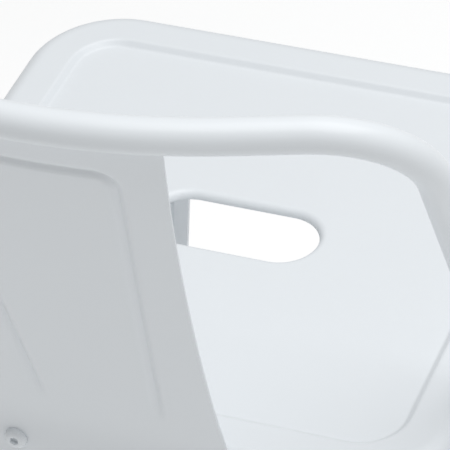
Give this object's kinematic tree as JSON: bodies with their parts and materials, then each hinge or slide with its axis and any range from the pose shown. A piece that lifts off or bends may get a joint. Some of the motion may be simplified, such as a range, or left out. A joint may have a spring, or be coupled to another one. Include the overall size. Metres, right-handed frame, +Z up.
{
  "type": "counter stool with low back",
  "caption": "Counter stool of white coated pressed steel: square seat with a hand hole, splayed folded legs, foot rails, and a low tubular hoop back with a pressed splat.",
  "frame": {"origin": "on the floor, under the middle of the stool's whole length and width: the seat's centre lies 12 mm ahead of it, because the hoop reaches further back than the feet", "axes": "+Z up, the sitter faces -Y, the back is at +Y, and the sitter's left is at +X"},
  "size_m": [0.406, 0.43, 0.848],
  "materials": {
    "enamel": "satin",
    "rubber": "matte",
    "screws": "satin"
  },
  "bodies": {
    "root": {"back_hoop": "enamel", "back_splat": "enamel", "brace_bar_lower": "enamel", "brace_bar_upper": "enamel", "brace_rivet": "enamel", "foot_front_left": "rubber", "foot_front_right": "rubber", "foot_rear_left": "rubber", "foot_rear_right": "rubber", "hoop_bolts": "screws", "hoop_nuts": "screws", "hoop_washers": "screws", "leg_front_left": "enamel", "leg_front_right": "enamel", "leg_rear_left": "enamel", "leg_rear_right": "enamel", "rail_front": "enamel", "rail_left": "enamel", "rail_rear": "enamel", "rail_right": "enamel", "seat_pan": "enamel", "splat_bolts": "screws", "splat_nuts": "screws", "splat_washers": "screws"}
  },
  "joints": []
}
